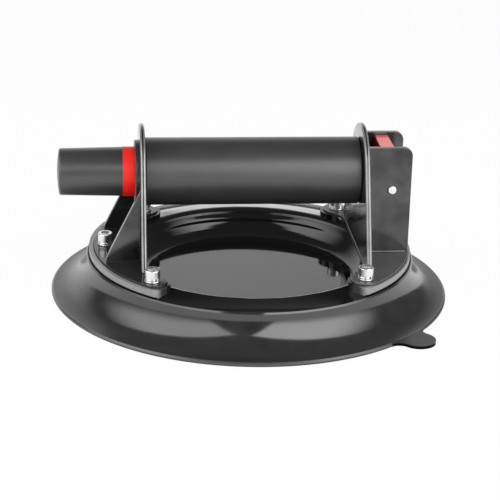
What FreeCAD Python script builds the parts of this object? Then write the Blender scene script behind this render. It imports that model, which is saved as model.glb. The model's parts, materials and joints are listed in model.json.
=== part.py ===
import FreeCAD, Part
import math
import os

# Hand vacuum lifter: rubber pad, base plate, bracketed pump handle and release lever.
# Millimetres. Origin at the pad's centre on its sealing plane, +Z up,
# +X from the pump plunger towards the release lever.

# Rubber pad
pad_radius = 115.0
pad_edge_thickness = 2.4
pad_edge_round = 0.8
pad_skirt_width = 21.8
pad_lip_thickness = 1.45
pad_lip_rise = 1.3
pad_lip_bevel = 0.6
pad_lip_round = 1.0
pad_membrane_thickness = 3.0
chamber_depth = 3.0
chamber_slope_width = 2.5
seal_face_width = 16.5
seal_groove_setback = 9.0
seal_groove_width = 2.4
seal_groove_depth = 1.2
pad_bead_depth = 2.2
pad_bead_height = 4.0
pad_bead_taper = 1.0
pad_bead_lift = 4.0
tab_angle = -45.0
tab_width = 19.0
tab_reach = 15.5
tab_root_round = 6.0
tab_lift = 0.4

# Base plate with its bowl
base_edge_chamfer = 0.6
base_floor_thickness = 3.5
bowl_depth = 14.1
bowl_wall_angle = 55.0
bowl_fillet = 10.0
bowl_rim_round = 6.0
rim_width = 17.2
rim_slope_angle = 7.0
boss_height = 1.2
boss_margin = 2.0
boss_overhang = 3.6
boss_end_round = 2.0
foot_recess = 2.0
recess_clearance = 0.3

# Screws, washers and threaded inserts
bolt_inset = 9.5
bolt_spread_angle = 45.0
screw_radius = 2.5
screw_length = 18.0
screw_head_radius = 4.25
screw_head_height = 5.0
screw_head_chamfer = 0.5
screw_hole_clearance = 0.3
screw_hole_spare = 0.8
socket_across_flats = 4.0
socket_depth = 2.6
plain_washer_width = 1.8
plain_washer_thickness = 1.0
washer_width = 1.7
washer_thickness = 1.2
washer_clearance = 0.1
washer_split = 1.0
insert_wall = 1.05
insert_length = 10.0
fit_clearance = 0.05

# Steel brackets
sheet = 3.0
plate_inset = 31.6
plate_arch_radius = 27.6
plate_half_width = 48.5
plate_washer_room = 0.3
ear_radius = 8.1
ear_blend = 18.0
pump_foot_inset = 2.8
gusset_gap = 51.0
gusset_reach = 19.4
gusset_rise = 42.2
gusset_nose = 2.1
cheek_gap = 28.4
cheek_setback = 0.2
cheek_rise = 18.5
cheek_corner = 5.0

# Grip and pump barrel
handle_rise = 44.2
grip_wall = 2.2
grip_end_round = 0.6
barrel_radius = 17.0
barrel_wall = 1.4
barrel_stand_out = 1.6
gland_wall = 0.95
gland_lip = 1.0
gland_chamfer = 0.5
bush_wall = 1.1
end_gap = 0.3

# Plunger and piston
plunger_clearance = 0.45
plunger_taper = 0.7
plunger_wall = 2.6
plunger_end_wall = 3.0
plunger_end_round = 1.2
plunger_crown = 1.2
plunger_travel = 38.0
plunger_spare_length = 5.8
ring_width = 6.75
ring_depth = 1.0
ring_proud = 0.12
piston_clearance = 0.4
piston_length = 10.0
piston_spigot_length = 12.0
piston_groove_width = 4.0
piston_groove_depth = 2.2
piston_seal_gap = 0.3

# Springs
return_spring_radius = 10.5
return_spring_wire = 0.8
return_spring_turns = 7
return_spring_closed_length = 18.0
valve_spring_radius = 3.2
valve_spring_wire = 0.35
valve_spring_turns = 4
valve_spring_length = 7.5

# Valve end of the barrel
block_length = 17.3
block_clearance = 0.2
block_seal_section = 0.95
block_seal_setback = 6.5
block_groove_spare = 1.1
valve_chamber_radius = 4.5
valve_chamber_wall = 3.5
neck_stand_out = 4.0
stem_guide_inset = 1.8
stem_guide_flange = 1.2
stem_guide_flange_width = 0.8
stem_radius = 2.0
stem_clearance = 0.08
stem_tail_gap = 1.8
stem_collar_radius = 3.6
stem_collar_thickness = 1.0
stem_seal_thickness = 1.0
stem_seal_gap = 0.1
stem_stand_out = 2.3
stem_dome = 3.0
inlet_valve_radius = 7.0
inlet_valve_thickness = 1.0
inlet_valve_stem_radius = 1.4
inlet_valve_stem_length = 3.5
inlet_hole_radius = 0.7
inlet_hole_circle = 3.6
inlet_hole_count = 4

# Vacuum line down to the pad
pipe_radius = 2.5
pipe_wall = 0.9
pipe_gap = 2.5
pipe_socket_depth = 6.5
passage_radius = 0.8
passage_offset = 1.4
passage_setback = 0.9
port_block_rise = 10.0
port_block_half_width = 10.0
port_block_thickness = 4.0
port_block_drop = 21.0
port_block_round = 1.5
port_foot_height = 10.0
port_foot_half_width = 7.0
port_foot_wall = 1.45
port_boss_wall = 1.65
port_socket_depth = 10.0
port_radius = 1.6
grommet_wall = 1.35
grommet_flange_width = 0.9
grommet_flange_thickness = 1.2
filter_radius = 4.0
filter_thickness = 1.5

# Release lever
lever_pin_drop = 6.6
lever_pin_radius = 2.5
lever_pin_stand_out = 1.0
lever_pin_dome = 0.7
lever_side_clearance = 0.5
lever_hub_radius = 5.6
lever_rise = 16.8
lever_top_depth = 8.6
lever_thumb_hollow = 0.7
lever_edge_round = 1.0
lever_stem_gap = 0.3
lever_face_drop = 2.2
lever_toe_drop = 9.2
lever_toe_depth = 4.2
lever_toe_gap = 0.3
lever_toe_step = 0.5

# Heights that follow from the sizes above
membrane_top = chamber_depth + pad_membrane_thickness
bowl_floor = membrane_top + base_floor_thickness
rim_top = bowl_floor + bowl_depth
rim_tilt = math.radians(rim_slope_angle)
rim_shoulder = rim_top - bowl_rim_round * (1 - math.cos(rim_tilt))
rim_edge = rim_shoulder - (rim_width - bowl_rim_round * math.sin(rim_tilt)) * math.tan(rim_tilt)
lip_top = rim_edge + pad_lip_rise
boss_top = rim_top + boss_height
recess_top = boss_top + foot_recess
foot_top = boss_top + sheet
washer_seat = foot_top + plain_washer_thickness
head_seat = washer_seat + washer_thickness
head_top = head_seat + screw_head_height
handle_height = foot_top + handle_rise
cheek_top = handle_height + cheek_rise
lever_top = handle_height + lever_rise
lever_pin_z = handle_height - lever_pin_drop
port_block_bottom = handle_height - port_block_drop
pipe_top = port_block_bottom + pipe_socket_depth
pipe_bottom = boss_top - port_socket_depth

# Radii in plan
base_radius = pad_radius - pad_skirt_width
bolt_circle_radius = base_radius - bolt_inset
foot_outer_radius = bolt_circle_radius + ear_radius
pump_foot_radius = base_radius - pump_foot_inset
rim_inner_radius = base_radius - rim_width
pad_bore_radius = base_radius + fit_clearance
bead_bottom = membrane_top + pad_bead_lift
bead_top = bead_bottom + pad_bead_height
washer_bore_radius = screw_radius + washer_clearance
insert_radius = screw_radius + fit_clearance + insert_wall
foot_hole_radius = screw_radius + screw_hole_clearance

# Radii about the handle's axis
barrel_bore_radius = barrel_radius - barrel_wall
barrel_seat_radius = barrel_radius + fit_clearance
bush_bore_radius = barrel_bore_radius - fit_clearance - bush_wall
plunger_radius = bush_bore_radius - plunger_clearance
plunger_bore_radius = plunger_radius - plunger_wall
ring_seat_radius = plunger_radius - ring_depth
piston_radius = barrel_bore_radius - piston_clearance
piston_seat_radius = piston_radius - piston_groove_depth
neck_radius = valve_chamber_radius + valve_chamber_wall
neck_seat_radius = neck_radius + fit_clearance

# Places along the handle
plate_inner = base_radius - plate_inset
plate_outer = plate_inner + sheet
barrel_start = -(plate_outer + barrel_stand_out)
barrel_end = plate_inner - end_gap
gland_face = barrel_start - gland_lip
ring_start = gland_face - ring_width
block_start = barrel_end - block_length
piston_face = block_start - return_spring_closed_length - plunger_travel
piston_back = piston_face - piston_length
piston_middle = piston_face - piston_length / 2
plunger_end = gland_face - plunger_travel - plunger_spare_length
neck_end = plate_outer + neck_stand_out
guide_inner = neck_end - stem_guide_inset
guide_outer = neck_end + stem_guide_flange
stem_tip = guide_outer + stem_stand_out
seal_end = guide_inner - stem_seal_gap
collar_end = seal_end - stem_seal_thickness
collar_start = collar_end - stem_collar_thickness
valve_chamber_end = collar_start - valve_spring_length
pipe_x = plate_outer + pipe_gap + pipe_radius
pipe_seat_radius = pipe_radius + fit_clearance
grommet_radius = pipe_seat_radius + grommet_wall
port_foot_end = pipe_x + pipe_seat_radius + port_foot_wall
lever_face = stem_tip + lever_stem_gap
lever_toe_start = port_foot_end + lever_toe_gap
lever_pin_x = lever_toe_start - lever_toe_step + lever_hub_radius
cheek_inner = cheek_gap / 2
cheek_outer = cheek_inner + sheet
cheek_end = math.sqrt(foot_outer_radius ** 2 - cheek_outer ** 2) - cheek_setback

bolt_angles = [0.0, bolt_spread_angle, -bolt_spread_angle]
bolt_angles += [180.0 - angle for angle in bolt_angles]


def point(x, y, z):
    return FreeCAD.Vector(x, y, z)


def polar(radius, degrees):
    angle = math.radians(degrees)
    return point(radius * math.cos(angle), radius * math.sin(angle), 0)


def line(start, end):
    return Part.LineSegment(start, end).toShape()


def arc(start, middle, end):
    return Part.Arc(start, middle, end).toShape()


def lines_through(points):
    return [line(start, end) for start, end in zip(points, points[1:])]


def face_of(edges):
    return Part.Face(Part.Wire(edges))


def polygon_face(points):
    return Part.Face(Part.makePolygon(points + points[:1]))


def section(outline):
    return [point(radius, 0, z) for radius, z in outline]


def upright_cylinder(radius, bottom, top, x=0.0):
    return Part.makeCylinder(radius, top - bottom, point(x, 0, bottom))


def upright_ring(outer, inner, bottom, top, x=0.0):
    return upright_cylinder(outer, bottom, top, x).cut(upright_cylinder(inner, bottom, top, x))


def handle_cylinder(radius, start, end):
    return Part.makeCylinder(radius, end - start, point(start, 0, handle_height), point(1, 0, 0))


def handle_ring(outer, inner, start, end):
    return handle_cylinder(outer, start, end).cut(handle_cylinder(inner, start, end))


def on_handle(outline):
    return [point(x, 0, handle_height + radius) for x, radius in outline]


def turned_on_handle(outline):
    return polygon_face(on_handle(outline)).revolve(point(0, 0, handle_height), point(1, 0, 0), 360)


def turned_on_pad(edges):
    return face_of(edges).revolve(point(0, 0, 0), point(0, 0, 1), 360)


def cross_cylinder(radius, start, end):
    return Part.makeCylinder(radius, end - start, point(lever_pin_x, start, lever_pin_z), point(0, 1, 0))


def mirrored(shape, normal):
    return shape.mirror(point(0, 0, 0), normal)


def both_sides(shape):
    return Part.makeCompound([shape, mirrored(shape, point(0, 1, 0))])


def at_bolts(shape):
    copies = []
    for angle in bolt_angles:
        copy = shape.copy()
        copy.translate(polar(bolt_circle_radius, angle))
        copies.append(copy)
    return Part.makeCompound(copies)


def circles_at(shape, axis, place):
    found = []
    for edge in shape.Edges:
        if edge.Degenerated or edge.Curve.TypeId != "Part::GeomCircle":
            continue
        if abs(edge.Curve.Center.dot(axis) - place) < 0.001:
            found.append(edge)
    return found


def straight_edges(shape, direction):
    found = []
    for edge in shape.Edges:
        if edge.Curve.TypeId == "Part::GeomLine" and abs(edge.Curve.Direction.dot(direction)) > 0.999:
            found.append(edge)
    return found


def coil_spring(radius, wire, turns, start, end):
    # Half rings, tilted one way and then the other, meet end to end along the handle.
    first = start + wire
    half_pitch = (end - start - 2 * wire) / (2 * turns)
    tilt = math.degrees(math.atan2(half_pitch / 2, radius))
    slant_radius = math.hypot(radius, half_pitch / 2)
    halves = []
    for count in range(2 * turns):
        half = Part.makeTorus(slant_radius, wire, point(0, 0, 0), point(0, 0, 1), -180, 180, 180)
        side = 1
        if count % 2:
            half.rotate(point(0, 0, 0), point(0, 0, 1), 180)
            side = -1
        half.rotate(point(0, 0, 0), point(0, 1, 0), 90 + side * tilt)
        half.translate(point(first + (count + 0.5) * half_pitch, 0, handle_height))
        halves.append(half)
    return halves[0].multiFuse(halves[1:])


def vacuum_pad():
    lip_shoulder = lip_top - pad_lip_round
    seal_inner = pad_radius - seal_face_width
    groove = pad_radius - seal_groove_setback
    half_groove = seal_groove_width / 2
    quarter_groove = seal_groove_width / 4
    edge_start = pad_radius - pad_edge_round
    bead_radius = pad_bore_radius - pad_bead_depth
    under = [(0, chamber_depth), (seal_inner - chamber_slope_width, chamber_depth), (seal_inner, 0)]
    under += [(groove - half_groove, 0), (groove - quarter_groove, seal_groove_depth)]
    under += [(groove + quarter_groove, seal_groove_depth), (groove + half_groove, 0), (edge_start, 0)]
    under += [(pad_radius, pad_edge_round), (pad_radius, pad_edge_thickness - pad_edge_round)]
    under += [(edge_start, pad_edge_thickness)]
    upper = [(pad_bore_radius + pad_lip_thickness, lip_shoulder)]
    lip_middle = pad_bore_radius + (pad_lip_bevel + pad_lip_thickness) / 2
    upper += [(lip_middle, lip_top), (pad_bore_radius + pad_lip_bevel, lip_top)]
    upper += [(pad_bore_radius, lip_top - pad_lip_bevel), (pad_bore_radius, bead_top)]
    upper += [(bead_radius, bead_top - pad_bead_taper)]
    upper += [(bead_radius, bead_bottom + pad_bead_taper), (pad_bore_radius, bead_bottom)]
    upper += [(pad_bore_radius, membrane_top), (0, membrane_top), (0, chamber_depth)]
    # The skirt sweeps up from a flat edge to the lip in one hollow arc.
    reach = edge_start - upper[0][0]
    climb = lip_shoulder - pad_edge_thickness
    sweep = (reach ** 2 + climb ** 2) / (2 * climb)
    half_turn = math.atan2(reach, sweep - climb) / 2
    hollow = point(edge_start - sweep * math.sin(half_turn), 0, 0)
    hollow.z = pad_edge_thickness + sweep * (1 - math.cos(half_turn))
    edges = lines_through(section(under))
    edges.append(arc(section(under)[-1], hollow, section(upper)[0]))
    edges += lines_through(section(upper))
    pad = turned_on_pad(edges)
    pad = pad.cut(upright_cylinder(port_radius, 0, membrane_top, pipe_x))
    seat = upright_cylinder(filter_radius + fit_clearance, 0, chamber_depth + filter_thickness, pipe_x)
    return pad.cut(seat)


def pull_tab():
    # Rounded tab that peels the pad off, its sides run into the pad's edge through root rounds.
    half = tab_width / 2
    tip = pad_radius + tab_reach
    root_v = half + tab_root_round
    root_u = math.sqrt((pad_radius + tab_root_round) ** 2 - root_v ** 2)
    shrink = pad_radius / (pad_radius + tab_root_round)
    lean = math.atan2(root_v, root_u)
    turn = math.pi / 4 + lean / 2
    rim = point(root_u * shrink, root_v * shrink, 0)
    root = point(root_u - tab_root_round * math.sin(turn), root_v - tab_root_round * math.cos(turn), 0)
    upper = [point(rim.x - pad_edge_round, rim.y, 0), rim, root]
    upper += [point(root_u, half, 0), point(tip - half, half, 0)]
    lower = [point(p.x, -p.y, 0) for p in upper]
    edges = [line(lower[0], upper[0])]
    for side in (upper, lower):
        edges += [line(side[0], side[1]), arc(side[1], side[2], side[3]), line(side[3], side[4])]
    edges.append(arc(upper[4], point(tip, 0, 0), lower[4]))
    outline = Part.Wire(Part.__sortEdges__(edges))
    tab = Part.Face(outline).extrude(point(0, 0, pad_edge_thickness - tab_lift))
    tab.translate(point(0, 0, tab_lift))
    tab.rotate(point(0, 0, 0), point(0, 0, 1), tab_angle)
    return tab.cut(vacuum_pad())


def inner_line(growth):
    # Half of a foot's inner line: the plate's line, then the blend that runs into the ear.
    blend = ear_blend - growth
    bolt = polar(bolt_circle_radius, bolt_spread_angle)
    centre = point(plate_inner - growth - blend, 0, 0)
    centre.y = bolt.y - math.sqrt((ear_radius + ear_blend) ** 2 - (bolt.x - centre.x) ** 2)
    to_bolt = math.degrees(math.atan2(bolt.y - centre.y, bolt.x - centre.x))
    return [centre + polar(blend, angle) for angle in (0, to_bolt / 2, to_bolt)], bolt, to_bolt + 180


def both_halves(upper, steps):
    # Closed outline from the upper half's points, its steps of 2 for a line and 3 for an arc.
    lower = [point(p.x, -p.y, 0) for p in upper]
    edges = [line(lower[0], upper[0])]
    for half in (upper, lower):
        place = 0
        for step in steps:
            run = half[place:place + step]
            edges.append(line(*run) if step == 2 else arc(*run))
            place += step - 1
    edges.append(arc(upper[-1], point(upper[-1].Length, 0, 0), lower[-1]))
    return Part.Face(Part.Wire(Part.__sortEdges__(edges)))


def foot_outline(growth):
    # Plan of a bracket foot: an arc outside, and an ear round each end screw.
    ear = ear_radius + growth
    upper, bolt, ear_start = inner_line(growth)
    ear_middle = (ear_start + bolt_spread_angle) / 2
    upper += [bolt + polar(ear, ear_middle), polar(foot_outer_radius + growth, bolt_spread_angle)]
    return both_halves(upper, [3, 3])


def raised_outline():
    # Plan of the pad under a foot: square to the rim past the ear, and flush with the base's edge.
    ear = ear_radius + boss_margin
    upper, bolt, ear_start = inner_line(boss_margin)
    lean = math.asin(ear / bolt_circle_radius)
    end_angle = bolt_spread_angle + math.degrees(lean)
    corner = base_radius - boss_end_round
    corner_lean = math.asin(boss_end_round / corner)
    corner_angle = end_angle - math.degrees(corner_lean)
    corner_middle = (end_angle + 90 + corner_angle) / 2
    upper += [bolt + polar(ear, (ear_start + end_angle + 90) / 2)]
    upper += [polar(bolt_circle_radius * math.cos(lean), end_angle)]
    upper += [polar(corner * math.cos(corner_lean), end_angle)]
    upper += [polar(corner, corner_angle) + polar(boss_end_round, corner_middle)]
    upper += [polar(base_radius, corner_angle)]
    return both_halves(upper, [3, 3, 2, 3])


def raised_pad():
    bottom = rim_edge - 2 * base_edge_chamfer
    pad = raised_outline().extrude(point(0, 0, recess_top - bottom))
    pad.translate(point(0, 0, bottom))
    return pad.cut(upright_cylinder(rim_inner_radius - boss_overhang, 0, recess_top))


def foot_slab(growth, bottom, top):
    slab = foot_outline(growth).extrude(point(0, 0, top - bottom))
    slab.translate(point(0, 0, bottom))
    return slab


def base_plate():
    wall = math.radians(bowl_wall_angle)
    bend = 1 - math.cos(wall)
    straight = (bowl_depth - (bowl_fillet + bowl_rim_round) * bend) / math.sin(wall)
    rim_crown = point(rim_inner_radius, 0, rim_top)
    rim_start = point(rim_inner_radius + bowl_rim_round * math.sin(rim_tilt), 0, rim_shoulder)
    rim_low = rim_crown - point(bowl_rim_round * math.sin(wall), 0, bowl_rim_round * bend)
    wall_low = rim_low - point(straight * math.cos(wall), 0, straight * math.sin(wall))
    floor_edge = wall_low - point(bowl_fillet * math.sin(wall), 0, bowl_fillet * bend)
    half_bend = 1 - math.cos(wall / 2)
    rim_middle = rim_crown - point(bowl_rim_round * math.sin(wall / 2), 0, bowl_rim_round * half_bend)
    floor_middle = floor_edge + point(bowl_fillet * math.sin(wall / 2), 0, bowl_fillet * half_bend)
    groove_radius = base_radius - pad_bead_depth
    chamfer_top = rim_edge + base_edge_chamfer * math.tan(rim_tilt)
    corners = [(rim_start.x, rim_start.z), (base_radius - base_edge_chamfer, chamfer_top)]
    corners += [(base_radius, rim_edge - base_edge_chamfer), (base_radius, bead_top)]
    corners += [(groove_radius, bead_top - pad_bead_taper), (groove_radius, bead_bottom + pad_bead_taper)]
    corners += [(base_radius, bead_bottom), (base_radius, membrane_top), (0, membrane_top)]
    corners += [(0, bowl_floor), (floor_edge.x, bowl_floor)]
    edges = lines_through(section(corners))
    edges += [arc(section(corners)[-1], floor_middle, wall_low), line(wall_low, rim_low)]
    edges.append(arc(rim_low, rim_middle, rim_start))
    plate = turned_on_pad(edges)
    # Raised pads that the bracket feet sit in, and a boss for the vacuum pipe
    pad = raised_pad()
    boss = upright_cylinder(pipe_seat_radius + port_boss_wall, bowl_floor, boss_top, pipe_x)
    plate = plate.multiFuse([pad, mirrored(pad, point(1, 0, 0)), boss]).removeSplitter()
    recess = foot_slab(recess_clearance, boss_top, recess_top)
    pump_end = upright_cylinder(pump_foot_radius + recess_clearance, boss_top, recess_top)
    plate = plate.cut(recess).cut(mirrored(recess, point(1, 0, 0)).common(pump_end))
    insert_hole = upright_cylinder(insert_radius + fit_clearance, boss_top - insert_length, boss_top)
    screw_end = head_seat - screw_length - screw_hole_spare
    screw_hole = upright_cylinder(foot_hole_radius, screw_end, boss_top)
    plate = plate.cut(at_bolts(insert_hole.fuse(screw_hole)))
    plate = plate.cut(upright_cylinder(pipe_seat_radius, pipe_bottom, boss_top, pipe_x))
    return plate.cut(upright_cylinder(port_radius, membrane_top, pipe_bottom, pipe_x))


def threaded_inserts():
    bore = screw_radius + fit_clearance
    return at_bolts(upright_ring(insert_radius, bore, boss_top - insert_length, boss_top))


def foot_screws():
    head = upright_cylinder(screw_head_radius, head_seat, head_top)
    head = head.makeChamfer(screw_head_chamfer, circles_at(head, point(0, 0, 1), head_top))
    shank = upright_cylinder(screw_radius, head_seat - screw_length, head_seat)
    corner = socket_across_flats / math.sqrt(3)
    hexagon = polygon_face([polar(corner, 60 * step) for step in range(6)])
    socket = hexagon.extrude(point(0, 0, socket_depth))
    socket.translate(point(0, 0, head_top - socket_depth))
    return at_bolts(head.fuse(shank).removeSplitter().cut(socket))


def plain_washers():
    outer = washer_bore_radius + plain_washer_width
    return at_bolts(upright_ring(outer, washer_bore_radius, foot_top, washer_seat))


def spring_washers():
    outer = washer_bore_radius + washer_width
    washer = upright_ring(outer, washer_bore_radius, washer_seat, head_seat)
    corner = point(-washer_split / 2, -outer, washer_seat)
    split = Part.makeBox(washer_split, outer, washer_thickness, corner)
    return at_bolts(washer.cut(split))


def bracket_foot():
    hole = upright_cylinder(foot_hole_radius, boss_top, foot_top)
    return foot_slab(0, boss_top, foot_top).cut(at_bolts(hole))


def valve_end_foot():
    pipe_hole = upright_cylinder(grommet_radius + fit_clearance, boss_top, foot_top, pipe_x)
    return bracket_foot().cut(pipe_hole)


def pump_end_foot():
    reach = upright_cylinder(pump_foot_radius, boss_top, foot_top)
    return mirrored(bracket_foot(), point(1, 0, 0)).common(reach)


def end_plate(start):
    # The sides run up from the foot and meet the round top along its tangents.
    drop = handle_height - foot_top
    reach = math.hypot(plate_half_width, drop)
    angle = math.acos(plate_arch_radius / reach) - math.atan2(drop, plate_half_width)
    side_y = plate_arch_radius * math.cos(angle)
    side_z = handle_height + plate_arch_radius * math.sin(angle)
    crown = point(start, 0, handle_height + plate_arch_radius)
    corners = [point(start, -side_y, side_z), point(start, -plate_half_width, foot_top)]
    corners += [point(start, plate_half_width, foot_top), point(start, side_y, side_z)]
    edges = lines_through(corners)
    edges.append(arc(corners[3], crown, corners[0]))
    # Where a screw stands close, the plate's foot is relieved round its washers.
    washer_room = washer_bore_radius + plain_washer_width + plate_washer_room
    relief = at_bolts(upright_cylinder(washer_room, foot_top, head_top))
    return face_of(edges).extrude(point(sheet, 0, 0)).cut(relief)


def pump_end_plate():
    return end_plate(-plate_outer).cut(handle_cylinder(barrel_seat_radius, -plate_outer, -plate_inner))


def valve_end_plate():
    return end_plate(plate_inner).cut(handle_cylinder(neck_seat_radius, plate_inner, plate_outer))


def pump_end_gussets():
    inner = gusset_gap / 2
    nose = -(plate_outer + gusset_reach)
    corners = [(-plate_outer, foot_top), (nose, foot_top), (nose, foot_top + gusset_nose)]
    corners += [(-plate_outer, foot_top + gusset_rise)]
    gusset = polygon_face([point(x, inner, z) for x, z in corners])
    return both_sides(gusset.extrude(point(0, sheet, 0)))


def lever_cheeks():
    blank = Part.makeBox(cheek_end - plate_outer, sheet, cheek_top - foot_top)
    blank.translate(point(plate_outer, cheek_inner, foot_top))
    across = straight_edges(blank, point(0, 1, 0))
    outer_edges = [edge for edge in across if edge.CenterOfMass.x > plate_outer]
    top_corner = [edge for edge in outer_edges if edge.CenterOfMass.z > foot_top]
    cheek = blank.makeFillet(cheek_corner, top_corner)
    return both_sides(cheek.cut(cross_cylinder(lever_pin_radius + fit_clearance, cheek_inner, cheek_outer)))


def pump_barrel():
    return handle_ring(barrel_radius, barrel_bore_radius, barrel_start, barrel_end)


def grip_sleeve():
    end = plate_inner - end_gap
    outer = barrel_seat_radius + grip_wall
    outline = [(-end, barrel_seat_radius), (-end, outer - grip_end_round), (grip_end_round - end, outer)]
    outline += [(end - grip_end_round, outer), (end, outer - grip_end_round), (end, barrel_seat_radius)]
    return turned_on_handle(outline)


def gland_nut():
    outer = barrel_seat_radius + gland_wall
    outline = [(gland_face, bush_bore_radius), (gland_face, outer - gland_chamfer)]
    outline += [(gland_face + gland_chamfer, outer), (-plate_outer, outer)]
    outline += [(-plate_outer, barrel_seat_radius), (barrel_start, barrel_seat_radius)]
    outline += [(barrel_start, bush_bore_radius)]
    return turned_on_handle(outline)


def guide_bush():
    # Guides the plunger, and stops the piston at the end of its return stroke.
    outer = barrel_bore_radius - fit_clearance
    return handle_ring(outer, bush_bore_radius, barrel_start, piston_back - end_gap)


def plunger():
    end_radius = plunger_radius - plunger_taper
    shoulder = plunger_end + plunger_crown
    inner_end = plunger_end + plunger_end_wall
    outline = [(shoulder, end_radius), (ring_start, plunger_radius)]
    outline += [(ring_start, ring_seat_radius), (gland_face, ring_seat_radius)]
    outline += [(gland_face, plunger_radius), (piston_back, plunger_radius)]
    outline += [(piston_back, plunger_bore_radius), (inner_end, plunger_bore_radius)]
    outline += [(inner_end, 0), (plunger_end, 0)]
    # The pushed end is slightly crowned.
    crown_radius = (end_radius ** 2 + plunger_crown ** 2) / (2 * plunger_crown)
    half_turn = math.asin(end_radius / crown_radius) / 2
    middle = (plunger_end + crown_radius * (1 - math.cos(half_turn)), crown_radius * math.sin(half_turn))
    edges = lines_through(on_handle(outline))
    edges.append(arc(*on_handle([outline[-1], middle, outline[0]])))
    body = face_of(edges).revolve(point(0, 0, handle_height), point(1, 0, 0), 360)
    return body.makeFillet(plunger_end_round, circles_at(body, point(1, 0, 0), shoulder))


def indicator_ring():
    inner = ring_seat_radius + fit_clearance / 2
    return handle_ring(plunger_radius + ring_proud, inner, ring_start, gland_face)


def piston():
    groove = piston_groove_width / 2
    spigot = plunger_bore_radius - fit_clearance
    outline = [(piston_back - piston_spigot_length, 0), (piston_back - piston_spigot_length, spigot)]
    outline += [(piston_back, spigot), (piston_back, piston_radius)]
    outline += [(piston_middle - groove, piston_radius)]
    outline += [(piston_middle - groove, piston_seat_radius), (piston_middle + groove, piston_seat_radius)]
    outline += [(piston_middle + groove, piston_radius), (piston_face, piston_radius), (piston_face, 0)]
    return turned_on_handle(outline)


def piston_seal():
    half = piston_groove_width / 2 - fit_clearance
    inner = piston_seat_radius + fit_clearance / 2
    outer = barrel_bore_radius - piston_seal_gap
    return handle_ring(outer, inner, piston_middle - half, piston_middle + half)


def return_spring():
    turns = return_spring_turns
    return coil_spring(return_spring_radius, return_spring_wire, turns, piston_face, block_start)


def vacuum_passage():
    # Slanted drilling from the pipe's socket up into the valve chamber
    low = point(pipe_x - passage_offset, 0, pipe_top)
    high = point(guide_inner - stem_seal_gap - passage_setback, 0, handle_height - valve_chamber_radius)
    run = (high - low).normalize()
    start = low - run * passage_radius
    return Part.makeCylinder(passage_radius, (high - low).Length + 2 * passage_radius, start, run)


def valve_block():
    body = handle_cylinder(barrel_bore_radius - block_clearance, block_start, barrel_end)
    middle = block_start + block_seal_setback
    half = block_seal_section + block_groove_spare / 2
    seat = barrel_bore_radius - 2 * fit_clearance - 2 * block_seal_section
    body = body.cut(handle_ring(barrel_bore_radius, seat, middle - half, middle + half))
    body = body.fuse(handle_cylinder(neck_radius, barrel_end, neck_end)).removeSplitter()
    body = body.cut(handle_cylinder(valve_chamber_radius, valve_chamber_end, neck_end))
    stem_end = block_start + inlet_valve_stem_length + fit_clearance
    body = body.cut(handle_cylinder(inlet_valve_stem_radius + fit_clearance, block_start, stem_end))
    for step in range(inlet_hole_count):
        hole = handle_cylinder(inlet_hole_radius, block_start, valve_chamber_end)
        hole.translate(point(0, 0, inlet_hole_circle))
        hole.rotate(point(0, 0, handle_height), point(1, 0, 0), 360 * step / inlet_hole_count)
        body = body.cut(hole)
    return body.cut(vacuum_passage())


def block_seal():
    ring = barrel_bore_radius - fit_clearance - block_seal_section
    centre = point(block_start + block_seal_setback, 0, handle_height)
    return Part.makeTorus(ring, block_seal_section, centre, point(1, 0, 0))


def inlet_valve():
    disc = handle_cylinder(inlet_valve_radius, block_start - inlet_valve_thickness, block_start)
    stem = handle_cylinder(inlet_valve_stem_radius, block_start, block_start + inlet_valve_stem_length)
    return disc.fuse(stem)


def stem_guide():
    body = handle_cylinder(valve_chamber_radius - fit_clearance, guide_inner, neck_end)
    flange = handle_cylinder(valve_chamber_radius + stem_guide_flange_width, neck_end, guide_outer)
    bore = handle_cylinder(stem_radius + stem_clearance, guide_inner, guide_outer)
    return body.fuse(flange).removeSplitter().cut(bore)


def valve_stem():
    dome_centre = point(stem_tip - stem_dome, 0, handle_height)
    dome = Part.makeSphere(stem_dome, dome_centre)
    tip = handle_cylinder(stem_radius, dome_centre.x, stem_tip).common(dome)
    shaft = handle_cylinder(stem_radius, valve_chamber_end + stem_tail_gap, dome_centre.x)
    collar = handle_cylinder(stem_collar_radius, collar_start, collar_end)
    return shaft.multiFuse([tip, collar]).removeSplitter()


def stem_seal():
    return handle_ring(stem_collar_radius, stem_radius + fit_clearance / 2, collar_end, seal_end)


def valve_spring():
    turns = valve_spring_turns
    return coil_spring(valve_spring_radius, valve_spring_wire, turns, valve_chamber_end, collar_start)


def port_block():
    height = handle_height + port_block_rise - port_block_bottom
    corner = point(plate_outer, -port_block_half_width, port_block_bottom)
    plate = Part.makeBox(port_block_thickness, 2 * port_block_half_width, height, corner)
    plate = plate.makeFillet(port_block_round, straight_edges(plate, point(1, 0, 0)))
    corner = point(plate_outer, -port_foot_half_width, port_block_bottom)
    foot = Part.makeBox(port_foot_end - plate_outer, 2 * port_foot_half_width, port_foot_height, corner)
    upright = straight_edges(foot, point(0, 0, 1))
    outer_edges = [edge for edge in upright if edge.CenterOfMass.x > pipe_x]
    foot = foot.makeFillet(port_block_round, outer_edges)
    block = plate.fuse(foot).removeSplitter()
    block = block.cut(handle_cylinder(neck_seat_radius, plate_outer, plate_outer + port_block_thickness))
    block = block.cut(upright_cylinder(pipe_seat_radius, port_block_bottom, pipe_top, pipe_x))
    return block.cut(vacuum_passage())


def vacuum_pipe():
    return upright_ring(pipe_radius, pipe_radius - pipe_wall, pipe_bottom, pipe_top, pipe_x)


def pipe_grommet():
    flange_top = foot_top + grommet_flange_thickness
    body = upright_cylinder(grommet_radius, boss_top, foot_top, pipe_x)
    flange = upright_cylinder(grommet_radius + grommet_flange_width, foot_top, flange_top, pipe_x)
    bore = upright_cylinder(pipe_seat_radius, boss_top, flange_top, pipe_x)
    return body.fuse(flange).removeSplitter().cut(bore)


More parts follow.
